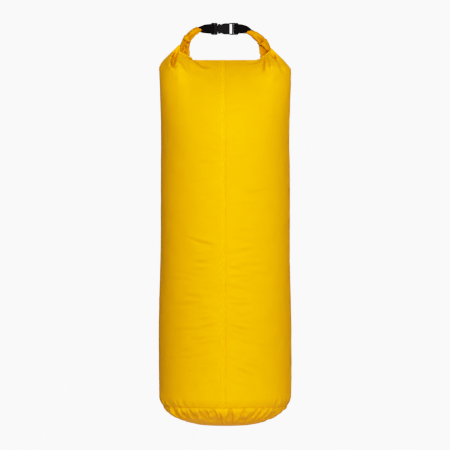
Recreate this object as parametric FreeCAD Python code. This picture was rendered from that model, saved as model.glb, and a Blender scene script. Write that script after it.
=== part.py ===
"""A roll-top dry bag, closed and buckled into its carrying loop. Lengths are in millimetres.

The origin is the middle of the flat base, +Z runs up the bag, +X to the right of someone facing
its front, and +Y to its back. The mouth is rolled towards the back and its two ends are brought
together above the bag by a side-release buckle.
"""
import FreeCAD, Part
import math
import os

Vector = FreeCAD.Vector

# ---- driving dimensions ----
BODY_RADIUS = 142.0        # at the shoulders and above the base
WAIST = 3.0                # how much slimmer the tube is half way up
BASE_FLAT_RADIUS = 45.0    # the part of the base that stands on the ground
BASE_ARC_HEIGHT = 62.0     # height at which the base's rounding meets the tube
BASE_FULLNESS = 1.7        # 2 would make the rounding a quarter of an ellipse
BASE_SEAM_Z = 42.0
NECK_START_Z = 600.0       # the round tube starts to flatten here
NECK_END_Z = 757.0         # and its front and back lie against each other here
MOUTH_Z = 783.5            # top edge of the front, where the roll begins
SHOULDER_Z = 767.0
FABRIC = 1.0               # coated cloth with its slack and air
FLAP_FRONT_Y = -2.2        # the flattened neck's two plies
FLAP_BACK_Y = 1.8
NECK_HALF_DEPTH = 2.0

SEAM_LEFT_X = -12.0        # the felled front seam covers this strip
SEAM_RIGHT_X = 2.0
SEAM_THICK = 0.7
TAPE_WIDTH = 24.0
TAPE_THICK = 0.4
THREAD = 0.45

ROLL_Y = 8.2               # mid-plane of the roll, the webbing and the buckle
ROLL_HALF_DEPTH = 5.7
ROLL_Z = 771.5
PLY = 1.2                  # one turn of the roll
TURN_GAP = 0.35
ROLL_TURNS = 3
STRIP_WIDTH = 14.0         # the two stiffeners inside the roll
STRIP_THICK = 0.8

PIVOT_X = 84.0             # where the roll bends up into each arm of the loop
PIVOT_Z = 773.0
KNUCKLE_R = 12.0
RUN_CLEAR = 0.4

WEB_WIDTH = 20.0
WEB_THICK = 1.2

BUCKLE_Z = 851.8
BUCKLE_HALF_WIDTH = 13.0
RAIL_HALF_DEPTH = 3.5
BAR_HALF_DEPTH = 1.5
BAR_ROUND = 1.3            # so that the webbing bends round a bar and not a corner
PRONG_HALF_DEPTH = 2.5
HOUSING_HALF_DEPTH = 4.5
HOUSING_WALL = 1.6
HOUSING_MOUTH_X = -15.7
PRONG_PIVOT_X = -15.2
PRONG_PIVOT_DZ = 6.1
PRONG_KNUCKLE_R = 1.5

# Each arm of the loop: points of its middle line (x, z) with half its width there.
LEFT_ARM = [(-84, 773, 11.9), (-88, 790, 11.5), (-88, 806, 11.2), (-86.5, 820, 11),
            (-79.5, 834.5, 9), (-71, 843, 8), (-63, 848.6, 7.8), (-54.5, 852.7, 7.2)]
RIGHT_ARM = [(84, 773, 11.9), (87.5, 790, 11.5), (86.5, 803, 11.2), (84, 816, 10.8),
             (79, 825, 9.5), (71.5, 832, 8.4), (61, 841, 7.4), (51.5, 847.5, 7.2)]
# The tabs of webbing: from the buckle's bar into the arm's end.
LEFT_TAB = [(-24, 851.8, 10), (-36, 851.8, 10), (-47, 851, 8.5), (-58, 849.8, 5.2), (-66, 845.6, 5)]
RIGHT_TAB = [(19.6, 851.8, 10), (32, 851.6, 10), (43, 850, 8.5), (55, 844.6, 5.2), (63, 838.6, 5)]
# The folds of cloth that rise from each shoulder to the arm in front of the roll.
LEFT_FOLD = [(-142, 767.8), (-133.8, 785), (-114.5, 806), (-99, 819.5), (-101, 806), (-88, 798),
             (-74, 789)]
RIGHT_FOLD = [(141.6, 767.8), (127.4, 785), (104.8, 806), (96.5, 813.5), (100.6, 801), (92, 797),
              (76, 787)]
FLAP_CORNER_X = 76.0       # the flap's straight top ends here, and slopes to the shoulder


# ---- helpers ----
def save(name, shape):
    """Writes one node, after checking that each of its solids is sound."""
    solids = shape.Solids
    assert solids and all(s.isValid() and s.isClosed() and s.Volume > 0 for s in solids), name
    os.makedirs("parts", exist_ok=True)
    shape.exportStep(f"parts/{name}.step")
    print(f"{name:24s} solids {len(solids)}  volume {shape.Volume / 1000:9.2f} cm3")


def box(low, high):
    """An upright box from its lowest corner to its highest."""
    size = [b - a for a, b in zip(low, high)]
    return Part.makeBox(*size, Vector(*low))


def plate(points, y_low, y_high):
    """A flat plate between two depths, with its outline given as (x, z) corners."""
    wire = Part.makePolygon([Vector(x, y_low, z) for x, z in [*points, points[0]]])
    return Part.Face(wire).extrude(Vector(0, y_high - y_low, 0))


def disc(x, z, radius, y_low, y_high):
    """A cylinder along Y."""
    return Part.makeCylinder(radius, y_high - y_low, Vector(x, y_low, z), Vector(0, 1, 0))


def curve(points):
    """A smooth edge through (x, z) points in the plane y = 0."""
    spline = Part.BSplineCurve()
    spline.interpolate([Vector(x, 0, z) for x, z in points])
    return spline


def band(stations, y_low, y_high, half_width=None):
    """A flat band between two depths that follows a middle line of (x, z, half width) stations."""
    middle = curve([s[:2] for s in stations])
    sides = [[], []]
    for x, z, half in stations:
        along = middle.tangent(middle.parameter(Vector(x, 0, z)))[0]
        across = Vector(-along.z, 0, along.x)
        reach = half_width or half
        sides[0].append((x + across.x * reach, z + across.z * reach))
        sides[1].append((x - across.x * reach, z - across.z * reach))
    edges = [curve(side).toShape() for side in sides]
    caps = [Part.LineSegment(Vector(sides[0][k][0], 0, sides[0][k][1]),
                             Vector(sides[1][k][0], 0, sides[1][k][1])).toShape() for k in (0, -1)]
    face = Part.Face(Part.Wire(Part.__sortEdges__([*edges, *caps])))
    face.translate(Vector(0, y_low, 0))
    return face.extrude(Vector(0, y_high - y_low, 0))


def rounded(shape, radius, pick):
    """The shape with the picked edges rounded."""
    edges = [e for e in shape.Edges if pick(e)]
    return shape.makeFillet(radius, edges)


def runs_along_y(edge):
    a, b = edge.Vertexes[0].Point, edge.Vertexes[-1].Point
    return abs(a.x - b.x) < 1e-6 and abs(a.z - b.z) < 1e-6 and abs(a.y - b.y) > 1e-3


def runs_up(edge):
    a, b = edge.Vertexes[0].Point, edge.Vertexes[-1].Point
    return abs(a.x - b.x) < 1e-6 and abs(a.y - b.y) < 1e-6 and abs(a.z - b.z) > 1e-3


# ---- the bag ----
def body_half_sizes(z):
    """(half width, half depth) of the bag's outside at a height."""
    if z < BASE_ARC_HEIGHT:
        radius = base_radius(z)
        return radius, radius
    middle = (BASE_ARC_HEIGHT + SHOULDER_Z) / 2
    reach = (SHOULDER_Z - BASE_ARC_HEIGHT) / 2
    width = BODY_RADIUS - WAIST * (1 - ((z - middle) / reach) ** 2)
    if z <= NECK_START_Z:
        return width, width
    rise = (z - NECK_START_Z) / (NECK_END_Z - NECK_START_Z)
    depth = NECK_HALF_DEPTH + (width - NECK_HALF_DEPTH) * (1 - rise ** 1.9) ** 0.85
    return width, depth


def base_radius(z):
    """Radius of the base's rounding at a height below the tube."""
    share = (1 - (1 - z / BASE_ARC_HEIGHT) ** BASE_FULLNESS) ** (1 / BASE_FULLNESS)
    return BASE_FLAT_RADIUS + (BODY_RADIUS - BASE_FLAT_RADIUS) * share


def body_solid(offset, top=NECK_END_Z):
    """The bag's filled shape, moved out by an offset, from the base seam to the flattened neck."""
    heights = [BASE_SEAM_Z, 48, 55, 64, *range(90, 600, 85), NECK_START_Z]
    side = curve([(body_half_sizes(z)[0] + offset, z) for z in heights])
    ends = side.toShape().Vertexes
    corners = [(0, NECK_START_Z), (0, BASE_SEAM_Z), (ends[0].Point.x, BASE_SEAM_Z)]
    edges = [side.toShape(), *straight(corners),
             *straight([(ends[-1].Point.x, NECK_START_Z), (0, NECK_START_Z)])]
    tube = Part.Face(Part.Wire(Part.__sortEdges__(edges))).revolve(Vector(0, 0, 0), Vector(0, 0, 1), 360)
    return tube.fuse(neck_solid(offset, top))


def neck_solid(offset, top):
    """The filled shape of the neck: round where it leaves the tube and flat where it ends."""
    rings = []
    for z in [NECK_START_Z, 616, 640, 664, 688, 708, 724, 738, 749, top]:
        half_width, half_depth = body_half_sizes(z)
        a, b = half_width + offset, max(half_depth + offset, 0.6)
        ring = Part.Ellipse(Vector(0, 0, z), a, b) if a - b > 0.005 else Part.Circle(
            Vector(0, 0, z), Vector(0, 0, 1), a)
        rings.append(Part.Wire([ring.toShape()]))
    return Part.makeLoft(rings, True, False)


def flap():
    """The flattened neck above the body, where front and back cloth lie together."""
    corners = [(-141.4, NECK_END_Z - 4), (-142, SHOULDER_Z), (-FLAP_CORNER_X, MOUTH_Z),
               (FLAP_CORNER_X, MOUTH_Z), (142, SHOULDER_Z), (141.4, NECK_END_Z - 4)]
    return plate(corners, FLAP_FRONT_Y, FLAP_BACK_Y)


def body_panel():
    """The main panel: a tube with its neck flattened."""
    return body_solid(0).cut(body_solid(-FABRIC, NECK_END_Z - 3)).fuse(flap()).removeSplitter()


def base_profile(offset):
    """Edge of the base's rounding from the flat to the seam, moved in by an offset."""
    side = BODY_RADIUS - BASE_FLAT_RADIUS
    last = (base_radius(BASE_SEAM_Z) - BASE_FLAT_RADIUS) / side
    points = []
    for k in range(13):
        share = last * k / 12
        rest = 1 - share ** BASE_FULLNESS
        z = BASE_ARC_HEIGHT * (1 - rest ** (1 / BASE_FULLNESS))
        climb = BASE_ARC_HEIGHT * share ** (BASE_FULLNESS - 1) * rest ** (1 / BASE_FULLNESS - 1)
        length = math.hypot(side, climb)
        points.append((BASE_FLAT_RADIUS + side * share - offset * climb / length,
                       z + offset * side / length))
    return points


def base_panel():
    """The round base with its rounding, and a flange that laps inside the tube."""
    outside, inside = curve(base_profile(0)), curve(base_profile(FABRIC))
    out_end, in_end = base_profile(0)[-1], base_profile(FABRIC)[-1]
    lap = FABRIC + 0.1
    r_lap = body_half_sizes(BASE_SEAM_Z)[0] - lap - 0.6
    corners = [(0, FABRIC), (0, 0), (BASE_FLAT_RADIUS, 0)]
    top = [out_end, (r_lap, out_end[1]), (r_lap, out_end[1] + 9), (r_lap - FABRIC, out_end[1] + 9),
           in_end]
    edges = [*straight(corners), outside.toShape(), *straight(top), inside.toShape(),
             *straight([base_profile(FABRIC)[0], (0, FABRIC)])]
    face = Part.Face(Part.Wire(Part.__sortEdges__(edges)))
    return face.revolve(Vector(0, 0, 0), Vector(0, 0, 1), 360)


def straight(points):
    """Straight edges that join (x, z) points in the plane y = 0."""
    ends = [Vector(x, 0, z) for x, z in points]
    return [Part.LineSegment(a, b).toShape() for a, b in zip(ends, ends[1:])]


def ring(radius, width, thick, z_low):
    """A flat hoop about the bag's axis, with its outer radius."""
    outer = Part.makeCylinder(radius, width, Vector(0, 0, z_low))
    return outer.cut(Part.makeCylinder(radius - thick, width, Vector(0, 0, z_low)))


def front_strip(inner, outer, x_low, x_high, z_low, z_high):
    """A strip of the front between two offsets of the body's shape."""
    slab = box((x_low, -200, z_low), (x_high, -1, z_high))
    return body_solid(outer).common(slab).cut(body_solid(inner))


def front_seam():
    """The felled seam: the overlap of cloth that stands proud of the front."""
    on_body = front_strip(0, SEAM_THICK, SEAM_LEFT_X, SEAM_RIGHT_X, BASE_SEAM_Z + 5, NECK_END_Z)
    on_flap = box((SEAM_LEFT_X, FLAP_FRONT_Y - SEAM_THICK, NECK_END_Z - 1),
                  (SEAM_RIGHT_X, FLAP_FRONT_Y, MOUTH_Z))
    on_flap = on_flap.cut(body_solid(0))
    return on_body.fuse(on_flap).removeSplitter()


def seam_thread(x):
    """One row of stitching on the felled seam, as a thin ridge."""
    return front_strip(SEAM_THICK, SEAM_THICK + THREAD, x - THREAD / 2, x + THREAD / 2,
                       BASE_SEAM_Z + 8, NECK_END_Z - 12)


# ---- the roll ----
def spiral(turns, ply, gap, half_length):
    """Outline of a flattened spiral of cloth about a flat core, as a face in the YZ plane."""
    core = STRIP_THICK + 0.15
    count = 2 * turns + 1
    offsets = [core + k * (ply + gap) / 2 for k in range(count)]
    sides = [(-1) ** k * r for k, r in enumerate(offsets)]

    def path(extra):
        edges = []
        ys = [(-1) ** k * (r + extra) for k, r in enumerate(offsets)]
        for k in range(count - 1):
            z = half_length if k % 2 else -half_length
            middle, reach = (ys[k] + ys[k + 1]) / 2, abs(ys[k] - ys[k + 1]) / 2
            apex = Vector(0, middle, z + (reach if k % 2 else -reach))
            edges.append(Part.Arc(Vector(0, ys[k], z), apex, Vector(0, ys[k + 1], z)).toShape())
            if k < count - 2:
                edges.append(Part.LineSegment(Vector(0, ys[k + 1], z),
                                              Vector(0, ys[k + 1], -z)).toShape())
        return edges, Vector(0, ys[0], -half_length), Vector(0, ys[-1], z)

    inner, inner_start, inner_end = path(0)
    outer, outer_start, outer_end = path(ply)
    ends = [Part.LineSegment(inner_start, outer_start).toShape(),
            Part.LineSegment(inner_end, outer_end).toShape()]
    assert len(sides) == count
    return Part.Face(Part.Wire(Part.__sortEdges__([*inner, *outer, *ends])))


def elbow_space():
    """The spaces at both ends of the middle roll, where the arms turn up."""
    spaces = []
    for stations in (LEFT_ARM, RIGHT_ARM):
        x, z = stations[0][:2]
        spaces.append(disc(x, z, KNUCKLE_R + RUN_CLEAR, 0, 20))
        spaces.append(band([(x, z, half + RUN_CLEAR) for x, z, half in stations], 0, 20))
    return spaces[0].fuse(spaces[1:])


def middle_roll():
    """The rolled mouth behind the top edge, between the arms."""
    face = spiral(ROLL_TURNS, PLY, TURN_GAP, STRIP_WIDTH / 2 - 1)
    face.translate(Vector(-PIVOT_X + 6, ROLL_Y, ROLL_Z))
    return face.extrude(Vector(2 * PIVOT_X - 12, 0, 0)).cut(elbow_space())


def middle_strips():
    """The two stiffeners in the middle roll, one sewn into each side of the mouth."""
    low, high = ROLL_Z - STRIP_WIDTH / 2 + 1, ROLL_Z + STRIP_WIDTH / 2 - 1
    back = box((-PIVOT_X + 6, ROLL_Y + 0.05, low), (PIVOT_X - 6, ROLL_Y + STRIP_THICK, high))
    front = box((-PIVOT_X + 6, ROLL_Y - STRIP_THICK, low), (PIVOT_X - 6, ROLL_Y - 0.05, high))
    return Part.makeCompound([back.cut(elbow_space()), front.cut(elbow_space())])


def arm_roll(stations, tab):
    """One arm of the loop: the roll bent upwards, with its stiffeners' and webbing's pocket."""
    x, z = stations[0][:2]
    low, high = ROLL_Y - ROLL_HALF_DEPTH, ROLL_Y + ROLL_HALF_DEPTH
    body = band(stations, low, high).fuse(disc(x, z, stations[0][2], low, high)).removeSplitter()
    body = rounded(body, 4.0, lambda e: not runs_along_y(e) and e.Length > 30)
    strips = band(stations[:6], ROLL_Y - 1, ROLL_Y + 1, STRIP_WIDTH / 2 + 0.3)
    web = band(tab, ROLL_Y - WEB_THICK - 0.4, ROLL_Y + WEB_THICK + 0.4)
    return body.cut(strips).cut(web)


def arm_strips(stations):
    """The two stiffeners in one arm."""
    front = band(stations[:6], ROLL_Y - STRIP_THICK, ROLL_Y - 0.05, STRIP_WIDTH / 2)
    back = band(stations[:6], ROLL_Y + 0.05, ROLL_Y + STRIP_THICK, STRIP_WIDTH / 2)
    return Part.makeCompound([front, back])


def shoulder_fold(points, side):
    """The fold of cloth between a shoulder and its arm, in front of the roll."""
    low_edge = [(side * (FLAP_CORNER_X - 1), MOUTH_Z + 0.8)]
    return plate([*points, *low_edge], FLAP_FRONT_Y, FLAP_BACK_Y)


# ---- webbing ----
def webbing(stations, bar_x, bar_half, side, end_x):
    """A tab of webbing: two plies from inside the arm, joined by a bend around the buckle's bar."""
    inside, outside = 1.65, 1.65 + WEB_THICK
    depth = WEB_THICK + 0.1
    ramp_x, flat_x = bar_x + side * (bar_half + 0.5), bar_x + side * (bar_half + 7)
    bend_x = bar_x - side * (bar_half - inside + 0.25)
    half = WEB_WIDTH / 2

    def ply(sign):
        points = [(bend_x, inside), (ramp_x, inside), (flat_x, 0.1), (end_x, 0.1), (end_x, depth),
                  (flat_x, depth), (ramp_x, outside), (bend_x, outside)]
        corners = [Vector(x, ROLL_Y + sign * y, BUCKLE_Z - half - 12) for x, y in points]
        face = Part.Face(Part.makePolygon([*corners, corners[0]]))
        return face.extrude(Vector(0, 0, 2 * half + 14))

    low = BUCKLE_Z - half - 12
    hoop = Part.makeCylinder(outside, 2 * half + 14, Vector(bend_x, ROLL_Y, low))
    hoop = hoop.cut(Part.makeCylinder(inside, 2 * half + 14, Vector(bend_x, ROLL_Y, low)))
    away = sorted([bend_x, bend_x + side * 10])
    hoop = hoop.cut(box((away[0], ROLL_Y - 10, low), (away[1], ROLL_Y + 10, low + 2 * half + 14)))
    loop = ply(1).fuse([ply(-1), hoop]).removeSplitter()
    reach = [(bend_x - side * 4, BUCKLE_Z, half), *stations]
    return loop.common(band(reach, ROLL_Y - 8, ROLL_Y + 8))


def bartack(x_middle, z_middle):
    """The block of stitches that closes a webbing tab, on both of its faces."""
    stitches = []
    for face_y in (ROLL_Y - WEB_THICK - 0.1 - THREAD, ROLL_Y + WEB_THICK + 0.1):
        for k in range(4):
            x = x_middle - 3 + 2 * k
            stitches.append(box((x - 0.35, face_y, z_middle - 6.5),
                                (x + 0.35, face_y + THREAD, z_middle + 6.5)))
    return Part.makeCompound(stitches)


# ---- buckle ----
def buckle_box(x_low, x_high, half_width, half_depth, from_width=None):
    """A box of the buckle, centred on its middle line, or a pair of them above and below it."""
    if from_width is None:
        return box((x_low, ROLL_Y - half_depth, BUCKLE_Z - half_width),
                   (x_high, ROLL_Y + half_depth, BUCKLE_Z + half_width))
    upper = box((x_low, ROLL_Y - half_depth, BUCKLE_Z + from_width),
                (x_high, ROLL_Y + half_depth, BUCKLE_Z + half_width))
    lower = box((x_low, ROLL_Y - half_depth, BUCKLE_Z - half_width),
                (x_high, ROLL_Y + half_depth, BUCKLE_Z - from_width))
    return upper.fuse(lower)


def frame_with_bar(x_low, x_high, slots, half_depth, bars):
    """A webbing frame: rounded rails, with slots through it and thinner bars in it."""
    solid = buckle_box(x_low, x_high, BUCKLE_HALF_WIDTH, half_depth)
    solid = rounded(solid, 2.4, runs_along_y)
    solid = rounded(solid, 1.0, lambda e: not runs_along_y(e))
    for a, b in slots:
        solid = solid.cut(buckle_box(a, b, WEB_WIDTH / 2 + 0.4, 10))
    for a, b in bars:
        keep = buckle_box(a - 0.01, b + 0.01, WEB_WIDTH / 2 + 0.4, 10)
        bar = rounded(buckle_box(a, b, BUCKLE_HALF_WIDTH, BAR_HALF_DEPTH), BAR_ROUND, runs_up)
        solid = solid.cut(keep.cut(bar))
    return solid


def male_half():
    """The buckle's male half without its two prongs: frame, base plate and centre guide."""
    solid = frame_with_bar(-30.7, -16.3, [(-25, -23.4)], RAIL_HALF_DEPTH, [(-30.7, -25)])
    groove = buckle_box(-22.6, -20.4, WEB_WIDTH / 2 + 0.4, 10)
    solid = solid.cut(groove.cut(buckle_box(-23, -20, BUCKLE_HALF_WIDTH, 2.2)))
    root = buckle_box(-16.6, PRONG_PIVOT_X, 7.9, PRONG_HALF_DEPTH)
    guide = buckle_box(-16.6, -4, 1.0, 1.9)
    solid = solid.fuse([root, guide]).removeSplitter()
    for sign in (1, -1):
        z = BUCKLE_Z + sign * PRONG_PIVOT_DZ
        solid = solid.cut(disc(PRONG_PIVOT_X, z, PRONG_KNUCKLE_R + 0.2, ROLL_Y - 4, ROLL_Y + 4))
    return solid


def prong(sign):
    """A sprung prong: knuckle, arm, locking shoulder and the wing that a finger presses."""
    outline = [(-15.2, 4.6), (-9, 4.9), (-2, 6.4), (5.6, 7.0), (7.2, 7.9), (7.6, 9.3), (6.6, 11.2),
               (4.6, 12.1), (-1, 12.1), (-4.5, 11.3), (-9.1, 9.4), (-9.1, 7.9), (-15.2, 7.6)]
    points = [(x, BUCKLE_Z + sign * dz) for x, dz in outline]
    y_low, y_high = ROLL_Y - PRONG_HALF_DEPTH, ROLL_Y + PRONG_HALF_DEPTH
    z = BUCKLE_Z + sign * PRONG_PIVOT_DZ
    solid = plate(points, y_low, y_high)
    return solid.fuse(disc(PRONG_PIVOT_X, z, PRONG_KNUCKLE_R, y_low, y_high)).removeSplitter()


def female_half():
    """The buckle's female half: housing with finger cut-outs, two side windows, and its frame."""
    frame = frame_with_bar(8.4, 28.3, [(9.8, 14.4), (17.8, 19.6), (26.2, 28.31)],
                           RAIL_HALF_DEPTH, [(14.4, 17.8), (19.6, 26.2)])
    upper = [(HOUSING_MOUTH_X, 10.2), (-13, 10.5), (-11.4, 11.3), (-9.6, 11.9), (9.2, 12)]
    outline = [*upper, *[(x, -dz) for x, dz in reversed(upper)]]
    shell = plate([(x, BUCKLE_Z + dz) for x, dz in outline],
                  ROLL_Y - HOUSING_HALF_DEPTH, ROLL_Y + HOUSING_HALF_DEPTH)
    shell = rounded(shell, 1.2, lambda e: not runs_along_y(e))
    cavity_half = HOUSING_HALF_DEPTH - HOUSING_WALL
    shell = shell.cut(buckle_box(HOUSING_MOUTH_X - 0.1, 8.2, 8.8, cavity_half))
    shell = shell.cut(buckle_box(-9.6, 8.2, 13, cavity_half))
    for sign in (1, -1):
        scallop = disc(-4.8, BUCKLE_Z + sign * 13, 6.2, ROLL_Y - 6, ROLL_Y + 6)
        shell = shell.cut(scallop)
    return shell.fuse(frame).removeSplitter()


# ---- assembly ----
def main():
    save("body_panel", body_panel())
    save("base_panel", base_panel())
    save("front_seam", front_seam())
    threads = [seam_thread(SEAM_LEFT_X + 1.5), seam_thread(SEAM_RIGHT_X - 1.5)]
    save("front_seam_threads", Part.makeCompound(threads))
    middle_x = (SEAM_LEFT_X + SEAM_RIGHT_X) / 2
    glued = FABRIC + 0.1
    save("front_seam_tape", front_strip(-glued - TAPE_THICK, -glued, middle_x - TAPE_WIDTH / 2,
                                        middle_x + TAPE_WIDTH / 2, BASE_SEAM_Z + 26, 720))
    lap_radius = body_half_sizes(BASE_SEAM_Z)[0] - 2 * FABRIC - 0.8
    save("base_seam_tape", ring(lap_radius, 18, TAPE_THICK, BASE_SEAM_Z + 1))
    seam_radius = body_half_sizes(BASE_SEAM_Z + 4)[0] + THREAD + 0.05
    save("base_seam_thread", ring(seam_radius, THREAD, THREAD, BASE_SEAM_Z + 3.6))
    save("middle_roll", middle_roll())
    save("middle_stiffeners", middle_strips())

    save("left_roll", arm_roll(LEFT_ARM, LEFT_TAB))
    save("left_stiffeners", arm_strips(LEFT_ARM))
    save("left_shoulder_fold", shoulder_fold(LEFT_FOLD, -1))
    save("left_webbing", webbing(LEFT_TAB, -27.3, 2.3, -1, -66))
    save("left_bartack", bartack(-41, 851.4))
    save("male_half", male_half())
    save("upper_prong", prong(1))
    save("lower_prong", prong(-1))

    save("right_roll", arm_roll(RIGHT_ARM, RIGHT_TAB))
    save("right_stiffeners", arm_strips(RIGHT_ARM))
    save("right_shoulder_fold", shoulder_fold(RIGHT_FOLD, 1))
    save("right_webbing", webbing(RIGHT_TAB, 23, 3.3, 1, 63))
    save("right_bartack", bartack(37.5, 850.8))
    save("female_half", female_half())


main()
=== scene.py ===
"""A roll-top dry bag, rolled shut and buckled into its carrying loop: coated cloth, webbing and plastic
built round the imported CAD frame. Shapes are worked out in millimetres and made in metres."""
import math
import bpy
import numpy as np
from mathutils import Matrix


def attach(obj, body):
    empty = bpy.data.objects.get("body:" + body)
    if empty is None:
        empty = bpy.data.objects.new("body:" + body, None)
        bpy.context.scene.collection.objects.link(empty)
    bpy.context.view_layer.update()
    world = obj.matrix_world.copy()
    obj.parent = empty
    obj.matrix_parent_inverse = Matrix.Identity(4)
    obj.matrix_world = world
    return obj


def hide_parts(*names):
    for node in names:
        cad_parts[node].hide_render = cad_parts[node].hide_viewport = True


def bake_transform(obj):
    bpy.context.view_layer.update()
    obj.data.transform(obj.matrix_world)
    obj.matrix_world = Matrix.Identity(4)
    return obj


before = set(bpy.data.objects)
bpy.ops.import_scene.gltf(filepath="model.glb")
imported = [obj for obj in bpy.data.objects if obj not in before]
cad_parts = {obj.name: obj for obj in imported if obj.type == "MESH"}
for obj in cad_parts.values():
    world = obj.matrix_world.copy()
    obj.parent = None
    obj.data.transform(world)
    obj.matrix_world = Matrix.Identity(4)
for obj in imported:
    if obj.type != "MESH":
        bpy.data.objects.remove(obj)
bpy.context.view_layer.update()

PI = math.pi
LEFT, RIGHT = -1, 1
NAMES = {LEFT: "left", RIGHT: "right"}
RADIUS = 142  # of the full bag; places round the bag are arcs of this radius
GIRTH = 892.2  # round the full bag
FLAT_RADIUS = 45  # flat part of the underside
ROUNDING_Z = 62  # where the base's rounding ends
SEAM_Z = 42.0  # seam between base and tube
SHOULDER_Z = 757  # where the silhouette starts to draw in
MOUTH_Z = 783.5  # front cloth's top edge
EAR_ROWS = 26  # rows of cloth from the mouth up to a shoulder fold's peak
ROLL_Y = 8.2  # middle of the roll, behind the bag's middle


# ---------- numbers ----------
def smooth(t):
    """0 below 0, 1 above 1, and an even curve between."""
    t = np.clip(t, 0, 1)
    return t * t * (3 - 2 * t)


def track(x, points):
    """A soft curve through (x, value) points."""
    xs, ys = np.array(points, float).T
    slopes = np.gradient(ys, xs)
    k = np.clip(np.searchsorted(xs, x) - 1, 0, len(xs) - 2)
    h = xs[k + 1] - xs[k]
    t = np.clip((x - xs[k]) / h, 0, 1)
    return (ys[k] * (1 + 2 * t) * (1 - t) ** 2 + ys[k + 1] * t * t * (3 - 2 * t)
            + h * slopes[k] * t * (1 - t) ** 2 - h * slopes[k + 1] * t * t * (1 - t))


def spine(points, count):
    """Steps along a soft curve through (x, z, half width) points: place, half width and direction."""
    s = np.array(points, float)
    reach = np.concatenate([[0], np.cumsum(np.hypot(*np.diff(s[:, :2], axis=0).T))])
    u = np.linspace(0, reach[-1], count)
    x, z, half = (track(u, np.stack([reach, s[:, k]], 1)) for k in range(3))
    tx, tz = np.gradient(x), np.gradient(z)
    length = np.hypot(tx, tz)
    return u, x, z, half, tx / length, tz / length


def ripple(p, wave, seed, count=9):
    """Unevenness of about unit size over points, in swells about one wave long."""
    rng = np.random.default_rng(seed)
    total = np.zeros(p.shape[:-1])
    for _ in range(count):
        way = rng.normal(size=3)
        way *= 2 * PI * rng.uniform(0.7, 1.3) / (wave * np.linalg.norm(way))
        total += np.sin(p @ way + rng.uniform(0, 2 * PI))
    return total / math.sqrt(count / 2)


# ---------- meshes ----------
def add_mesh(name, points, faces, material):
    """A smooth-shaded object from points in millimetres."""
    mesh = bpy.data.meshes.new(name)
    mesh.from_pydata((np.asarray(points, float) * 0.001).tolist(), [], faces)
    mesh.materials.append(material)
    mesh.shade_smooth()
    mesh.update()
    made = bpy.data.objects.new(name, mesh)
    bpy.context.scene.collection.objects.link(made)
    return made


def grid_faces(rows, cols, wrap=False, start=0):
    """Faces of a grid of points stored row by row."""
    r, c = np.meshgrid(np.arange(rows - 1), np.arange(cols if wrap else cols - 1), indexing="ij")
    a, b = r * cols + c, r * cols + (c + 1) % cols
    return (np.stack([a, b, b + cols, a + cols], -1).reshape(-1, 4) + start).tolist()


def grid_piece(name, grid, material, wrap=False, flip=False):
    """A sheet from a rows x cols x 3 array of points."""
    rows, cols = grid.shape[:2]
    faces = grid_faces(rows, cols, wrap)
    if flip:
        faces = [f[::-1] for f in faces]
    return add_mesh(name, grid.reshape(-1, 3), faces, material)


# ---------- materials ----------
def new_material(name, colour, roughness, **sockets):
    """A material with its node tree and its shader, socket names written with underscores."""
    material = bpy.data.materials.new(name)
    material.use_nodes = True
    shader = material.node_tree.nodes["Principled BSDF"]
    shader.inputs["Base Color"].default_value = (*colour, 1)
    shader.inputs["Roughness"].default_value = roughness
    for socket, value in sockets.items():
        shader.inputs[socket.replace("_", " ")].default_value = value
    return material, material.node_tree, shader


def node(tree, kind, inputs=(), **settings):
    """A new node, its inputs linked to sockets or set to values."""
    made = tree.nodes.new(kind)
    for key, value in settings.items():
        setattr(made, key, value)
    for key, value in dict(inputs).items():
        if isinstance(value, bpy.types.NodeSocket):
            tree.links.new(value, made.inputs[key])
        else:
            made.inputs[key].default_value = value
    return made


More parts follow.
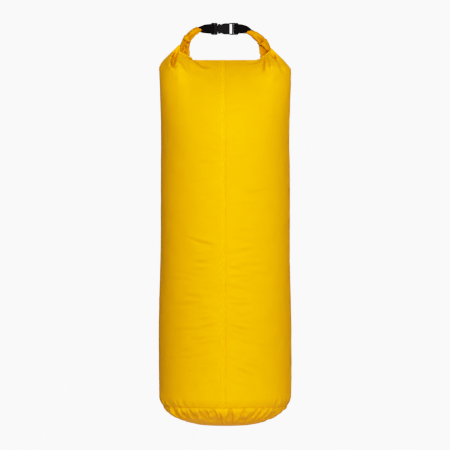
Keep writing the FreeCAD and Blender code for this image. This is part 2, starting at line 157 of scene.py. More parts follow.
def cloth_material(name, light, dark, roughness, weave=0.12, crumple=0.14, painted_shade_share=0.0):
    """Coated nylon: close ripstop-like weave, slight mottling, a soft shine, and painted shade that
    darkens the colour in creases.
    """
    material, tree, shader = new_material(name, light, roughness, Specular_IOR_Level=0.02,
                                          Specular_Tint=(1, 0.7, 0.05, 1), Sheen_Weight=0.3,
                                          Sheen_Tint=(1, 0.4, 0.0, 1), Sheen_Roughness=0.35)
    place = node(tree, "ShaderNodeTexCoord").outputs["Object"]
    blotch = node(tree, "ShaderNodeTexNoise", {"Vector": place, "Scale": 34, "Detail": 4})
    tint = node(tree, "ShaderNodeValToRGB", {"Fac": blotch.outputs["Fac"]})
    tint.color_ramp.elements[0].position = 0.35
    tint.color_ramp.elements[0].color = (*dark, 1)
    tint.color_ramp.elements[1].position = 0.65
    tint.color_ramp.elements[1].color = (*light, 1)
    colour = tint.outputs["Color"]
    # Painted shade: ambient occlusion blends the base colour towards the dark crease colour in creases
    # and hollows.
    if painted_shade_share:
        crease_shade_ao = node(tree, "ShaderNodeAmbientOcclusion", {"Distance": 0.014}, samples=8)
        open_share = node(tree, "ShaderNodeMapRange", {"Value": crease_shade_ao.outputs["AO"], "From Min": 0.35,
                                                       "From Max": 0.97, "To Min": 1 - painted_shade_share})
        colour = node(tree, "ShaderNodeMix", {"Factor": open_share.outputs[0], 6: (*PAINTED_CREASE_SHADE, 1),
                                              7: colour}, data_type="RGBA").outputs[2]
    tree.links.new(colour, shader.inputs["Base Color"])
    warp = node(tree, "ShaderNodeTexWave", {"Vector": place, "Scale": 520, "Distortion": 0.6,
                                            "Detail": 1}, bands_direction="Z")
    weft = node(tree, "ShaderNodeTexWave", {"Vector": place, "Scale": 520, "Distortion": 0.6,
                                            "Detail": 1}, bands_direction="X")
    threads = node(tree, "ShaderNodeMath", {0: warp.outputs["Fac"], 1: weft.outputs["Fac"]},
                   operation="ADD")
    fine = node(tree, "ShaderNodeBump", {"Height": threads.outputs[0], "Strength": weave,
                                         "Distance": 0.0001})
    folds = node(tree, "ShaderNodeTexNoise", {"Vector": place, "Scale": 60, "Detail": 6,
                                              "Roughness": 0.55})
    coarse = node(tree, "ShaderNodeBump", {"Height": folds.outputs["Fac"], "Strength": crumple,
                                           "Distance": 0.0012, "Normal": fine.outputs[0]})
    tree.links.new(coarse.outputs[0], shader.inputs["Normal"])
    return material


def webbing_material(name):
    """Black polyester webbing with its herringbone ribs."""
    material, tree, shader = new_material(name, (0.0022, 0.0017, 0.0018), 0.75,
                                          Specular_IOR_Level=0.02)
    place = node(tree, "ShaderNodeTexCoord").outputs["Object"]
    ribs = node(tree, "ShaderNodeTexWave", {"Vector": place, "Scale": 330, "Distortion": 1.5},
                bands_direction="DIAGONAL")
    lines = node(tree, "ShaderNodeTexWave", {"Vector": place, "Scale": 180}, bands_direction="Z")
    both = node(tree, "ShaderNodeMath", {0: ribs.outputs["Fac"], 1: lines.outputs["Fac"]},
                operation="MULTIPLY")
    bump = node(tree, "ShaderNodeBump", {"Height": both.outputs[0], "Strength": 0.5,
                                         "Distance": 0.0003})
    tree.links.new(bump.outputs[0], shader.inputs["Normal"])
    return material


def plastic_material(name, colour, roughness):
    """Moulded nylon or acetal with a fine spark-eroded grain."""
    material, tree, shader = new_material(name, colour, roughness, Specular_IOR_Level=0.025)
    place = node(tree, "ShaderNodeTexCoord").outputs["Object"]
    grain = node(tree, "ShaderNodeTexNoise", {"Vector": place, "Scale": 2600, "Detail": 2})
    bump = node(tree, "ShaderNodeBump", {"Height": grain.outputs["Fac"], "Strength": 0.25,
                                         "Distance": 0.00008})
    tree.links.new(bump.outputs[0], shader.inputs["Normal"])
    worn = node(tree, "ShaderNodeTexNoise", {"Vector": place, "Scale": 300, "Detail": 3})
    shine = node(tree, "ShaderNodeMapRange", {"Value": worn.outputs["Fac"],
                                              "To Min": roughness - 0.07, "To Max": roughness + 0.1})
    tree.links.new(shine.outputs[0], shader.inputs["Roughness"])
    return material


# Colour of the painted shade that the cloth's creases are darkened to.
PAINTED_CREASE_SHADE = (0.32, 0.085, 0.0)
CLOTH = ((0.93, 0.41, 0.0), (0.91, 0.395, 0.0))
# The bag's cloth and the base's cloth get painted shade in their creases, the base's much less.
YELLOW = cloth_material("coated_cloth", *CLOTH, 0.5, painted_shade_share=0.6)
BASE_YELLOW = cloth_material("base_cloth", *CLOTH, 0.5, painted_shade_share=0.12)
SEAM_YELLOW = cloth_material("seam_cloth", (0.965, 0.447, 0.0), (0.945, 0.425, 0.0), 0.48)
# The arms' cloth is the bag's cloth coloured darker as painted shade for the shade of its close twists,
# with full painted shade in its creases.
ROLLED_SHADED_YELLOW = cloth_material("rolled_cloth_painted_shade", (0.74, 0.285, 0.0), (0.62, 0.23, 0.0), 0.55,
                               crumple=0.5, painted_shade_share=1.0)
THREAD = cloth_material("seam_thread", (0.97, 0.38, 0.0), (0.92, 0.34, 0.0), 0.6)
WEBBING = webbing_material("webbing")
PLASTIC = plastic_material("buckle_plastic", (0.003, 0.0024, 0.0028), 0.5)
TAPE = plastic_material("seam_tape", (0.6, 0.6, 0.58), 0.5)
# The stiffeners' dark orange is painted shade: where they show through the arms' deep creases they read
# as shadow.
STIFFENER_SHADE_TONE = plastic_material("stiffener", (0.42, 0.13, 0.0), 0.6)


# ---------- shape of the bag ----------
def half_width(z):
    """Half the bag's width at a height below the shoulders."""
    above = track(z, [(62, 142), (110, 143), (200, 142.6), (330, 140.5), (430, 139.2), (540, 138.9),
                      (640, 138.2), (700, 139.8), (745, 141.6), (767, 142.2), (800, 142.2)])
    share = (1 - (1 - np.clip(z, 0, ROUNDING_Z) / ROUNDING_Z) ** 1.7) ** (1 / 1.7)
    return np.where(z < ROUNDING_Z, FLAT_RADIUS + (RADIUS - FLAT_RADIUS) * share, above)


# Silhouette of each shoulder up to its peak, and the front cloth's edge from the mouth to the peak.
SHOULDER = {
    LEFT: [(757, 141.9), (764, 142.7), (769, 142.3), (778, 138.1), (786, 131.7), (794.5, 123),
           (803, 114.5), (809.5, 108), (817, 100.5)],
    RIGHT: [(757, 141.8), (764, 141.6), (768, 139.8), (774, 134.9), (784, 126.3), (792.3, 117.7),
            (801, 109.1), (807.3, 102.7), (812.5, 97)],
}
FOLD_EDGE = {
    LEFT: [(783.5, 72), (787, 75.5), (791, 82), (795.5, 89), (800, 94), (804, 96.5), (810, 97),
           (817, 96.5)],
    RIGHT: [(783.5, 71), (786.3, 76), (790, 82.5), (795.5, 88.5), (799, 92.5), (803, 96),
            (807, 97), (812.5, 96.6)],
}


def tube_depth(z):
    """Half the bag's depth where it is round."""
    return 144.2 - 3.0 * (1 - ((z - 414.5) / 352.5) ** 2)


def outline(side, z):
    """Half width of the silhouette, shoulders and folds included."""
    heights, reach = np.array(SHOULDER[side]).T
    return np.where(z < SHOULDER_Z, half_width(z), np.interp(z, heights, reach))


def fold(x, z, points, height, low, high, fades=(0.25, 0.25)):
    """A ridge or valley along (z, x) points, with its own width towards each side."""
    heights, places = np.array(points, float).T
    t = (z - heights[0]) / (heights[-1] - heights[0])
    slope = np.interp(z, heights, np.gradient(places, heights))
    off = (x - np.interp(z, heights, places)) / np.sqrt(1 + slope ** 2)
    across = np.exp(-(off / np.where(off < 0, low, high)) ** 2)
    start = smooth((t + 0.05) / fades[0]) if fades[0] else 1.0
    end = smooth((1.05 - t) / fades[1]) if fades[1] else 1.0
    return height * across * start * end


# Folds of the front's cloth at each shoulder: (z, x) points, height, width to either side and
# share of the length over which each end fades.
LEFT_FOLDS = [
    ([(760, -111), (768, -117), (780, -119), (795, -115), (811, -104.5)], 11.0, 9, 2.4, (0.35, 0)),
    ([(764, -111.5), (772, -111), (781, -109.5), (790, -107), (799, -104.5), (812, -102)], -17, 5.0,
     2.4, (0.3, 0)),
    ([(768, -107), (780, -104.8), (795, -101.7), (805, -99.5)], 2.2, 2.0, 6, (0.3, 0)),
    ([(755, -84.5), (768, -91), (781, -98.5)], 4.2, 13, 1.8, (0.4, 0.3)),
    ([(756, -113), (766, -108), (779, -100.5)], -1.6, 1.8, 3, (0.4, 0.3)),
    ([(764, -44), (771, -50.5), (776, -56), (784, -65)], -9, 3.0, 9, (0.35, 0)),
    ([(760, -46), (768, -55), (776, -63), (784, -72)], 3.0, 8, 3, (0.4, 0)),
    ([(748, -60), (762, -72), (776, -84)], -1.2, 6, 6, (0.4, 0.4)),
    ([(725, -20), (745, -33), (765, -44)], -1.1, 7, 7, (0.5, 0.5)),
    ([(730, -95), (748, -101), (760, -106)], 1.2, 7, 7, (0.5, 0.5)),
]
RIGHT_FOLDS = [
    ([(781, 108), (790, 104.3), (797.5, 101), (809, 97.5)], -16.0, 2.6, 4.0, (0.3, 0)),
    ([(762, 100), (775, 98.8), (786, 96), (799, 92.5)], 4.2, 5.0, 3.0, (0.35, 0)),
    ([(764, 96), (772, 93.5), (785, 89.5), (794, 87)], -3.2, 2.4, 3.0, (0.3, 0.1)),
    ([(758, 87.5), (768, 87.5), (775, 86.5), (788, 84.5)], 3.4, 4.5, 3.5, (0.4, 0)),
    ([(755, 81.5), (765, 80), (774, 80.5), (786, 83)], -4.2, 2.6, 3.2, (0.3, 0)),
    ([(758, 70), (768, 73), (786, 77)], 2.4, 9, 4, (0.4, 0)),
    ([(752, 124), (765, 119.5), (774, 116), (787, 110)], -4.2, 3.0, 7, (0.35, 0.2)),
    ([(775, 56), (780, 67), (786, 78)], -4.0, 6, 3.0, (0.2, 0)),
    ([(745, 30), (760, 45), (776, 58)], -1.6, 7, 7, (0.5, 0.5)),
    ([(735, 10), (748, 22), (768, 46)], 1.0, 6, 7, (0.5, 0.5)),
    ([(730, 98), (748, 103), (764, 108)], 1.6, 8, 8, (0.5, 0.5)),
]


def tension(x, z, seed, low=95, high=700):
    """Creases across the bag that pull towards the seam, more of them further down."""
    rng = np.random.default_rng(seed)
    out = np.zeros(np.broadcast(x, z).shape)
    heights = np.concatenate([a + (b - a) * (np.arange(count) + rng.uniform(0, 1, count)) / count
                              for a, b, count in ((low, 400, 96), (400, 620, 12), (620, high, 14))])
    for k, middle in enumerate(heights):
        way = 1 if k % 2 else -1
        length = rng.uniform(30, 80)
        start = rng.uniform(2, 12) if rng.random() < 0.65 else rng.uniform(15, 60)
        start += 12 * (way < 0)
        slant = np.interp(middle, [100, 330, 560, 720], [-0.38, 0.0, 0.05, 0.3]) + rng.normal(0, 0.09)
        width = rng.uniform(2.3, 4.6)
        height = width * rng.uniform(0.16, 0.36) * (0.6 if middle > 390 else 1)
        along = (x * way - start) / length
        reach = x * way - start
        off = z - middle - slant * reach - rng.normal(0, 0.0016) * reach ** 2
        window = smooth(along * 4 + 0.3) * smooth((1 - along) * 1.8)
        out += height * window * (0.7 * np.exp(-((off - 1.5 * width) / width) ** 2)
                                  - np.exp(-(off / width) ** 2))
    return out


def pucker(p, z, seed, wave):
    """Gathers along p, sharper in their valleys, fading with the distance from the base seam."""
    rng = np.random.default_rng(seed)
    total = np.zeros(np.broadcast(p, z).shape)
    for k in range(7):
        turns = round(2 * PI * RADIUS / (wave * rng.uniform(0.6, 1.7)))
        lean = rng.normal(0, 0.12)
        total += rng.uniform(0.5, 1) * (1 - np.abs(np.sin((p + lean * z) * turns / (2 * RADIUS)
                                                          + rng.uniform(0, PI))) ** 0.8 - 0.45)
    reach = 11 + 6 * np.sin(p / 17 + 1) + 5 * np.sin(p / 41 + seed)
    calm = 1 - 0.6 * np.exp(-((np.abs(p) - 223) / 30) ** 2)
    calm *= np.clip(0.55 + 0.9 * np.sin(p / 19 + 2) * np.sin(p / 33 + 0.6), 0.05, 1.3)
    return total * calm * np.exp(-np.abs(z) / np.clip(reach, 4, 20))


# Bigger gathers on the base seam: place round the bag, lean, reach up the tube and height.
GATHERS = [(-171, 0.55, 30, 3.4), (-152, 0.75, 26, 3.2), (-141, 0.35, 20, -2.4), (-120, 0.3, 24, 2.2),
           (-108, 0.25, 22, 2.4), (-97, 0.1, 26, -2.0), (-84, 0.3, 20, 1.8), (-52, 0.1, 17, -1.2),
           (32, -0.5, 30, -1.3), (118, -0.25, 30, 1.6), (131, -0.2, 26, -1.8), (144, 0.2, 30, 2.0),
           (165, 0.4, 24, 2.2), (-205, 0.4, 28, 1.5), (-236, -0.3, 24, -1.6)]


def side_crumple(p, z):
    """The bigger gathers, most of them where the base seam turns the bag's left side."""
    out = np.zeros(np.broadcast(p, z).shape)
    for place, lean, top, height in GATHERS:
        off = p - place + lean * z
        out += height * np.exp(-(off / np.where(off > 0, 1.8, 5.0)) ** 2) * smooth((top - z) / top)
    return out


def relief(side, x, y, z, w):
    """How far the cloth stands out of its plain shape at points of the bag."""
    p3 = np.stack([x, y, z], -1)
    front = smooth(-y / 12 + 0.2)
    edge = smooth((1 - np.abs(x) / w) / 0.03)
    out = 0.35 * ripple(p3, 130, 3) + 0.10 * ripple(p3, 34, 4)
    body = smooth((z - 60) / 40) * smooth((715 - z) / 40)
    out += body * (front * tension(x, z, 21) + (1 - front) * tension(x, z, 33))
    neck = np.zeros_like(out)
    for args in (LEFT_FOLDS if side == LEFT else RIGHT_FOLDS):
        neck += fold(x, z, *args)
    high = smooth((z - 735) / 40)
    neck += 0.5 * ripple(p3 * [1, 0, 0.5], 22, 6 + side) * high * smooth(np.abs(x) / 60)
    back_neck = 1.5 * ripple(p3 * [1, 0, 0.25], 26, 8) * smooth((z - 700) / 50)
    near = smooth((765 - z) / 8) + smooth((np.abs(x) - 104) / 8)
    both = front * neck + (1 - front) * back_neck * np.clip(near, 0, 1)
    out += edge * smooth((z - 700) / 20) * both
    p = RADIUS * np.arctan2(x, -y)
    out += 0.8 * pucker(p, z - SEAM_Z, 51, 18) * smooth((84 - z) / 20) + side_crumple(p, z - SEAM_Z)
    out *= 1 - np.exp(-(z - SEAM_Z) / 3.5)
    out -= 0.5 * np.exp(-((x - 1.6) / 1.6) ** 2) * (y < 0) * smooth((z - 95) / 30)
    return out


def bag_surface(side, theta, z, x=None):
    """Points of the bag's cloth by angle from the front's middle, height and, in the folds, x."""
    w = outline(side, z)
    if x is None:
        x = side * w * np.sin(theta)
    front = np.cos(theta) > 0
    reach = np.clip(1 - (x / w) ** 2, 0, 1) ** 0.5
    front_top = np.interp(np.abs(x), [0, 60, 76, 88, 100, 142], [784, 784.3, 787, 795, 802, 804])
    top = np.where(front, front_top, SHOULDER_Z)
    rise = np.clip((z - 600) / (top - 600), 0, 1.2)
    room = 1 - rise ** 1.9
    room = 0.5 * (room + np.sqrt(room ** 2 + 0.0016)) - 0.01
    room = np.clip(room, 0, 1) ** np.where(front, 0.8, 0.85)
    round_depth = half_width(z) + (tube_depth(z) - half_width(z)) * smooth((z - 45) / 60)
    depth = 2.1 + (round_depth - 2.1) * room
    blade = np.sin(PI / 2 * np.clip((1 - np.abs(x) / w) / 0.34, 0, 1) ** 0.85)
    reach += (blade - reach) * smooth((z - 724) / 62) * front
    y = np.where(front, -1, 1) * depth * reach
    flat = smooth((z - 735) / 30)
    nx, ny = x / w ** 2 * (1 - flat), y / depth ** 2
    length = np.hypot(nx, ny) + 1e-9
    bump = relief(side, x, y, z, w)
    closed = np.where(z > 740, np.clip(reach * 6, 0, 1), 1)
    y += ny / length * bump * closed
    y = np.where(front, np.minimum(y, -1.2 * np.clip(reach * 4, 0, 1)), y)
    return np.stack([x + nx / length * bump * closed, y, z + 0 * x], -1)


def bag_half(side):
    """One half of the tube with its shoulder fold, from the front's middle round to the back's."""
    corner = math.asin(FOLD_EDGE[side][0][1] / float(outline(side, np.array(MOUTH_Z))))
    inner = np.linspace(0, corner, 46)
    outer = np.linspace(corner, PI / 2, 76)[1:]
    front = np.concatenate([inner, outer])
    theta = np.concatenate([front, PI - front[::-1][1:]])
    rows = np.concatenate([np.arange(SEAM_Z, 78, 1.4), np.arange(78, 700, 3.2),
                           np.arange(700, MOUTH_Z - 0.4, 1.3), [MOUTH_Z]])
    t, z = np.meshgrid(theta, rows)
    body = bag_surface(side, t, z)
    # The cloth goes over the roll behind the straight part of the mouth.
    over = []
    for back, up in ((0.5, 0.7), (2.4, 1.1), (5.0, 0.9), (7.5, 0.3)):
        ring = body[-1].copy()
        room = abs(ring[len(inner) - 1, 0]) - np.abs(ring[:, 0])
        keep = room > -0.01
        ring[:, 1] += back * smooth(room / 7)
        ring[:, 2] += up * smooth(room / 4)
        over.append(np.where((keep & (theta < PI / 2))[:, None], ring, body[-1]))
    points, faces = [body.reshape(-1, 3)], grid_faces(len(rows), len(theta))
    count, cols = len(rows) * len(theta), len(inner)
    top_row = (len(rows) - 1) * len(theta)
    curl = np.array([ring[:cols] for ring in over]).reshape(-1, 3)
    points.append(curl)
    faces += [[top_row + k, top_row + k + 1, count + k + 1, count + k] for k in range(cols - 1)]
    faces += grid_faces(len(over), cols, start=count)
    curl_end = count + len(curl) - 1
    count += len(curl)
    # Above the mouth only the outer columns go on, front and back, up to the shoulder fold's peak.
    first, last = len(inner) - 1, len(theta) - len(inner)
    peak = SHOULDER[side][-1][0]
    heights = MOUTH_Z + (peak - MOUTH_Z) * np.arange(1, EAR_ROWS + 1) / EAR_ROWS
    share = (np.sin(theta[first:last + 1]) - math.sin(corner)) / (1 - math.sin(corner))
    s, z = np.meshgrid(share, heights)
    edge_z, edge_x = np.array(FOLD_EDGE[side]).T
    start, end = np.interp(z, edge_z, edge_x), outline(side, z)
    x = side * (start + (end - start) * s)
    t = np.meshgrid(theta[first:last + 1], heights)[0]
    ear = bag_surface(side, t, z, x)
    hem = np.clip((end - start) * s / 2.5, 0, 1)
    ear[..., 1] *= np.sqrt(1 - (1 - hem) ** 2) * np.sqrt(np.clip((peak - z) / 2, 0, 1))
    points.append(ear.reshape(-1, 3))
    cols = last - first + 1
    faces += grid_faces(len(heights), cols, start=count)
    foot = top_row + first
    faces += [[foot + k, foot + k + 1, count + k + 1, count + k] for k in range(cols - 1)]
    # A web closes the corner between the curled mouth and the fold's inner edge.
    faces += [[curl_end, curl_end - 1, count]]
    faces += [[curl_end - k, curl_end - k - 1, count + k * cols, count + (k - 1) * cols]
              for k in (1, 2, 3, 4)]
    if side == LEFT:
        faces = [f[::-1] for f in faces]
    return add_mesh(f"bag_cloth_{NAMES[side]}", np.concatenate(points), faces, YELLOW)


# Gathers of the base's cloth below its seam: the tip's place round the bag and its height, the
# two ends on the seam, and how far the gather stands out.
PETALS = [(-72, 16, -86, -63, 2.6), (-98, 14, -112, -90, 2.2), (-52, 20, -62, -44, 1.6),
          (-15.5, 15, -26, -8, 2.8), (-6, 4, -14, 11, 3.2), (27, 3.5, 14, 43, 3.4), (51, 16, 44, 67, 2.4),
          (50, 3, 62, 76, 1.8), (70, 7, 80, 94, 1.8), (92, 9, 98, 112, 2.0), (-124, 15, -136, -114, 2.4),
          (-40, 18, -46, -32, 1.6), (118, 12, 116, 134, 2.0), (-150, 16, -162, -142, 2.6)]


def petals(p, z):
    """Cloth that bulges between two pinches on the seam and runs down to a point."""
    rng = np.random.default_rng(8)
    folds = list(PETALS)
    for place in np.arange(160, 720, 17.0):
        a = place + rng.uniform(-5, 5)
        folds.append((a + rng.uniform(-8, 8), rng.uniform(2, 18), a - rng.uniform(6, 11),
                      a + rng.uniform(6, 11), rng.uniform(0.7, 1.7)))
    out = np.zeros(np.broadcast(p, z).shape)
    for tip, low, a, b, height in folds:
        down = (SEAM_Z - z) / (SEAM_Z - low)
        q = (p - tip + GIRTH / 2) % GIRTH - GIRTH / 2
        left = q - (a - tip) * np.clip(1 - down, 0, 1) ** 0.75
        right = (b - tip) * np.clip(1 - down, 0, 1) ** 0.75 - q
        inside = np.clip(np.minimum(left, right) / 4.5, 0, 1)
        ends = smooth(down * 3 + 0.5) * smooth((1.04 - down) * 5)
        out += 1.8 * height * np.sin(PI / 2 * inside) * ends
    return out


def base_cloth():
    """The round base with its rounding and the gathers under the seam."""
    around = np.linspace(0, 2 * PI, 577)[:-1]
    z = SEAM_Z * np.linspace(0, 1, 64) ** 1.7
    a, zz = np.meshgrid(around, z)
    r = half_width(zz)
    step = 0.01
    above, below = half_width(np.minimum(zz + step, 61.9)), half_width(np.maximum(zz - step, 0))
    slope = (above - below) / (2 * step)
    n = np.stack([np.ones_like(slope), -slope], -1)
    n /= np.linalg.norm(n, axis=-1, keepdims=True)
    p = RADIUS * (np.where(a > PI, a - 2 * PI, a))
    bump = petals(p, zz) * smooth(zz / 9) + 0.2 * pucker(p, (SEAM_Z - zz) * 0.7, 51, 18)
    bump += side_crumple(p, 0 * zz) * smooth((zz - 16) / 22)
    p3 = np.stack([r * np.sin(a), -r * np.cos(a), zz], -1)
    bump += (0.5 * ripple(p3, 30, 61) + 0.35 * ripple(p3, 13, 62)) * smooth(zz / 8)
    bump *= 1 - np.exp(-(SEAM_Z - zz) / 2.5)
    bump = np.where(zz < 12, np.maximum(bump, -zz * 0.1), bump)
    r, zz = r + n[..., 0] * bump, np.maximum(zz + n[..., 1] * bump, 0.0)
    grid = np.stack([r * np.sin(a), -r * np.cos(a), zz], -1)
    flat = np.linspace(0.02, 1, 14)[:-1][:, None, None] * np.stack(
        [FLAT_RADIUS * np.sin(around), -FLAT_RADIUS * np.cos(around), 0 * around], -1)
    dimple = 0.4 * smooth((44 - np.hypot(flat[..., 0], flat[..., 1])) / 20)
    flat[..., 2] += dimple * (1 + 0.4 * ripple(flat, 25, 9))
    return grid_piece("base_cloth", np.concatenate([flat, grid]), BASE_YELLOW, wrap=True)


def front_point(x, z, out=0.0):
    """A point of the bag's front, standing out by a distance."""
    x, z = np.broadcast_arrays(np.asarray(x, float), np.asarray(z, float))
    side = LEFT if x.mean() < 0.6 else RIGHT
    theta = np.arcsin(np.clip(side * x / outline(side, z), -1, 1))
    p = bag_surface(side, theta, z)
    p[..., 1] -= out
    return p


def seam_strip():
    """The felled seam down the front: a roped strip with its two folded edges."""
    z = np.concatenate([np.arange(SEAM_Z + 1, 782.5, 1.5), [MOUTH_Z]])
    x = np.array([-17, -15, -13, -11.4, -10, -8.6, -7.2, -5.8, -4.4, -3.0, -1.8, -0.8, -0.2, 0.1,
                  0.2])
    stand = np.array([-0.9, -0.35, 0.05, 0.35, 0.6, 0.8, 0.95, 1.1, 1.2, 1.3, 1.3, 1.25, 0.9, 0.0,
                      -1.2])
    xx, zz = np.meshgrid(x, z)
    wobble = 0.35 * np.sin(zz / 23) + 0.2 * np.sin(zz / 9.1 + 1)
    rope = 1.2 * np.sin((zz - 1.15 * xx) * 2 * PI / 8.2 + 0.8 * np.sin(zz / 31)) * np.sin(
        np.clip((xx + 12) / 12.2, 0, 1) * PI)
    grid = front_point(xx, zz)
    grid[..., 1] -= stand[None, :] + rope
    grid[..., 0] += wobble * 0.6
    over = [grid[-1] + [0, 0.5, 0.7], grid[-1] + [0, 2.4, 1.1], grid[-1] + [0, 5.0, 0.9]]
    return grid_piece("front_seam_strip", np.concatenate([grid, over]), SEAM_YELLOW, flip=True)


def stitches(name, starts, ends, radius, material):
    """One mesh of small thread bars from starts to ends."""
    starts, ends = np.asarray(starts, float), np.asarray(ends, float)
    along = ends - starts
    length = np.linalg.norm(along, axis=1, keepdims=True)
    along = along / length
    up = np.cross(along, np.where(np.abs(along[:, 2:]) > 0.7, [[1.0, 0, 0]], [[0, 0, 1.0]]))
    up /= np.linalg.norm(up, axis=1, keepdims=True)
    side = np.cross(along, up)
    turn = np.arange(6) / 6 * 2 * PI
    rings = []
    for t, r in ((0, 0.45), (0.12, 1), (0.88, 1), (1, 0.45)):
        centre = starts + along * length * t
        rings.append(centre[:, None] + radius * r * (np.cos(turn)[None, :, None] * up[:, None]
                                                     + np.sin(turn)[None, :, None] * side[:, None]))
    points = np.stack(rings, 1)
    count = points.shape[0]
    faces = []
    for k in range(count):
        base = k * 24
        faces += grid_faces(4, 6, wrap=True, start=base)
        faces += [[base + j for j in range(5, -1, -1)], [base + 18 + j for j in range(6)]]
    return add_mesh(name, points.reshape(-1, 3), faces, material)


def front_stitches():
    """Two rows of thread down the front seam."""
    starts, ends = [], []
    for x in (-10.6, -2.2):
        z = np.arange(SEAM_Z + 6, 780, 3.6)
        a, b = front_point(np.full(len(z), x), z, 1.05), front_point(np.full(len(z), x), z + 2.5, 1.05)
        starts.append(a)
        ends.append(b)
    return stitches("front_stitches", np.concatenate(starts), np.concatenate(ends), 0.3, THREAD)


def base_stitches():
    """One row of thread round the base seam."""
    pitch, bar, radius = 3.7, 2.7, 141
    a = np.arange(0, 2 * PI, pitch / radius)
    gap = bar / radius

    def ring(angle):
        z = np.full(len(angle), SEAM_Z + 0.6)
        left = bag_surface(LEFT, np.where(angle > PI, 2 * PI - angle, angle), z)
        right = bag_surface(RIGHT, np.where(angle > PI, 2 * PI - angle, angle), z)
        p = np.where((angle > PI)[:, None], left, right)
        out = p.copy()
        out[:, 2] = 0
        return p + out / np.linalg.norm(out, axis=1, keepdims=True) * 0.25

    return stitches("base_stitches", ring(a), ring((a + gap) % (2 * PI)), 0.42, THREAD)


# ---------- roll and arms ----------
# Middle line of the roll from the mouth's middle to each arm's end: x, z and half width.
ARM = {
    LEFT: [(0, 772, 11.4), (-35, 772, 11.6), (-50, 772.6, 12.4), (-64, 773, 12.6), (-76, 775, 12),
           (-84, 781, 12.2), (-87.7, 791, 11.8), (-88, 803, 11.5), (-87.4, 815, 11), (-81.6, 828, 9.4),
           (-74.6, 838.6, 8.3), (-67.8, 844.8, 7.3), (-60.7, 849, 6.9), (-54.8, 852.3, 6.9)],
    RIGHT: [(0, 772, 11.4), (35, 772, 11.4), (62, 772.3, 11.7), (76, 774.5, 12), (85, 781, 12.2),
            (87.3, 792, 10.9), (85.8, 803, 10.6), (83.6, 813, 10.8), (80.3, 823, 10.6), (75, 829, 9.6),
            (69.5, 833.5, 8.4), (61.5, 840, 7.6), (51.5, 847.3, 7.2)],
}
# Creases on the front of each arm, in the form of the shoulders' folds.
ARM_FOLDS = {
    LEFT: [([(798, -86), (808, -82.5), (822, -88.5)], -8.0, 2.0, 7.0, (0.15, 0.15)),
           ([(803, -94.5), (812, -91), (821, -93)], -4.0, 1.8, 2.5, (0.3, 0.3)),
           ([(819, -75), (823, -84), (829, -93)], -7.0, 5.0, 2.0, (0.15, 0.1)),
           ([(823, -70), (829, -73), (836, -79), (844, -83)], -8.0, 2.0, 6.5, (0.2, 0.1)),
           ([(833, -66.5), (840, -69.5), (848, -74)], -7.5, 1.8, 5.0, (0.1, 0.1)),
           ([(839, -62.5), (846, -64), (853, -67)], -6.0, 1.6, 4.0, (0.1, 0)),
           ([(845, -55.5), (850, -57), (856, -61)], -3.0, 1.2, 2.5, (0.1, 0)),
           ([(788, -79), (800, -79), (812, -77.5)], -3.5, 4.5, 1.6, (0.3, 0.2))],
    RIGHT: [([(798, 98), (806, 86), (816.5, 75)], -9.0, 9.0, 1.6, (0.25, 0.1)),
            ([(822, 80), (834, 75.5)], -8.0, 6.0, 1.8, (0.2, 0.2)),
            ([(814, 93), (822, 87.5), (832, 82)], -4.0, 2, 6, (0.3, 0.2)),
            ([(835, 70), (841, 65), (848, 60.5)], -7.0, 6.0, 1.6, (0.1, 0.1)),
            ([(836, 58), (843, 57.5), (850, 60)], -4.0, 1.6, 4.5, (0.1, 0.1)),
            ([(785, 83), (795, 81.5), (808, 79)], -7.0, 9.0, 3.0, (0.1, 0.2))],
}


